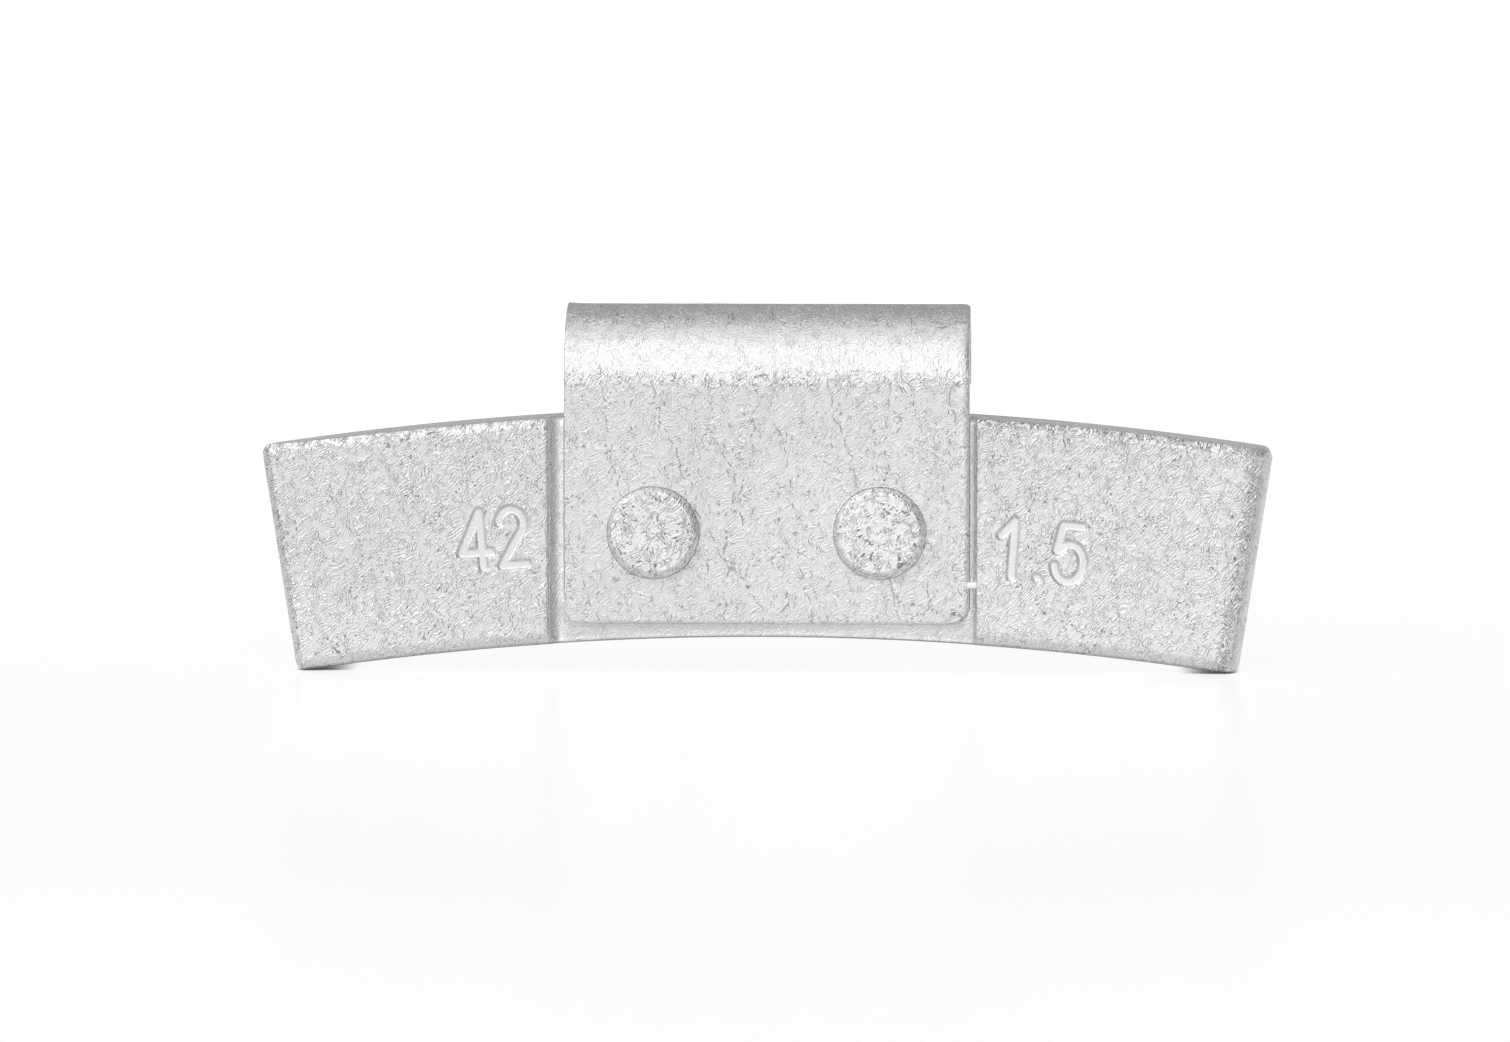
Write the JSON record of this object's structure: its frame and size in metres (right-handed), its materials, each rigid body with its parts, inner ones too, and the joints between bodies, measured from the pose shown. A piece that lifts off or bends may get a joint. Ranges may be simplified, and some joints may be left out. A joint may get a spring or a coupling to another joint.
{
  "type": "wheel balance weight",
  "caption": "Clip-on wheel balance weight: a curved steel bar with a recess pressed across its middle, where a folded spring clip is riveted on to hook over the edge of a wheel rim.",
  "frame": {"origin": "middle of the overall box in plan, at the level of the two lower wing tips it stands on", "axes": "+X along the weight, +Y from the front with the clip's leg to the side the hook reaches over, +Z radially outward, up"},
  "size_m": [0.0672, 0.011, 0.0243],
  "materials": {
    "body_coat": "silver-grey zinc coat, satin",
    "clip_coat": "silver-grey zinc coat, satin"
  },
  "bodies": {
    "root": {"weight_body": "body_coat", "rim_clip": "clip_coat"}
  },
  "joints": []
}
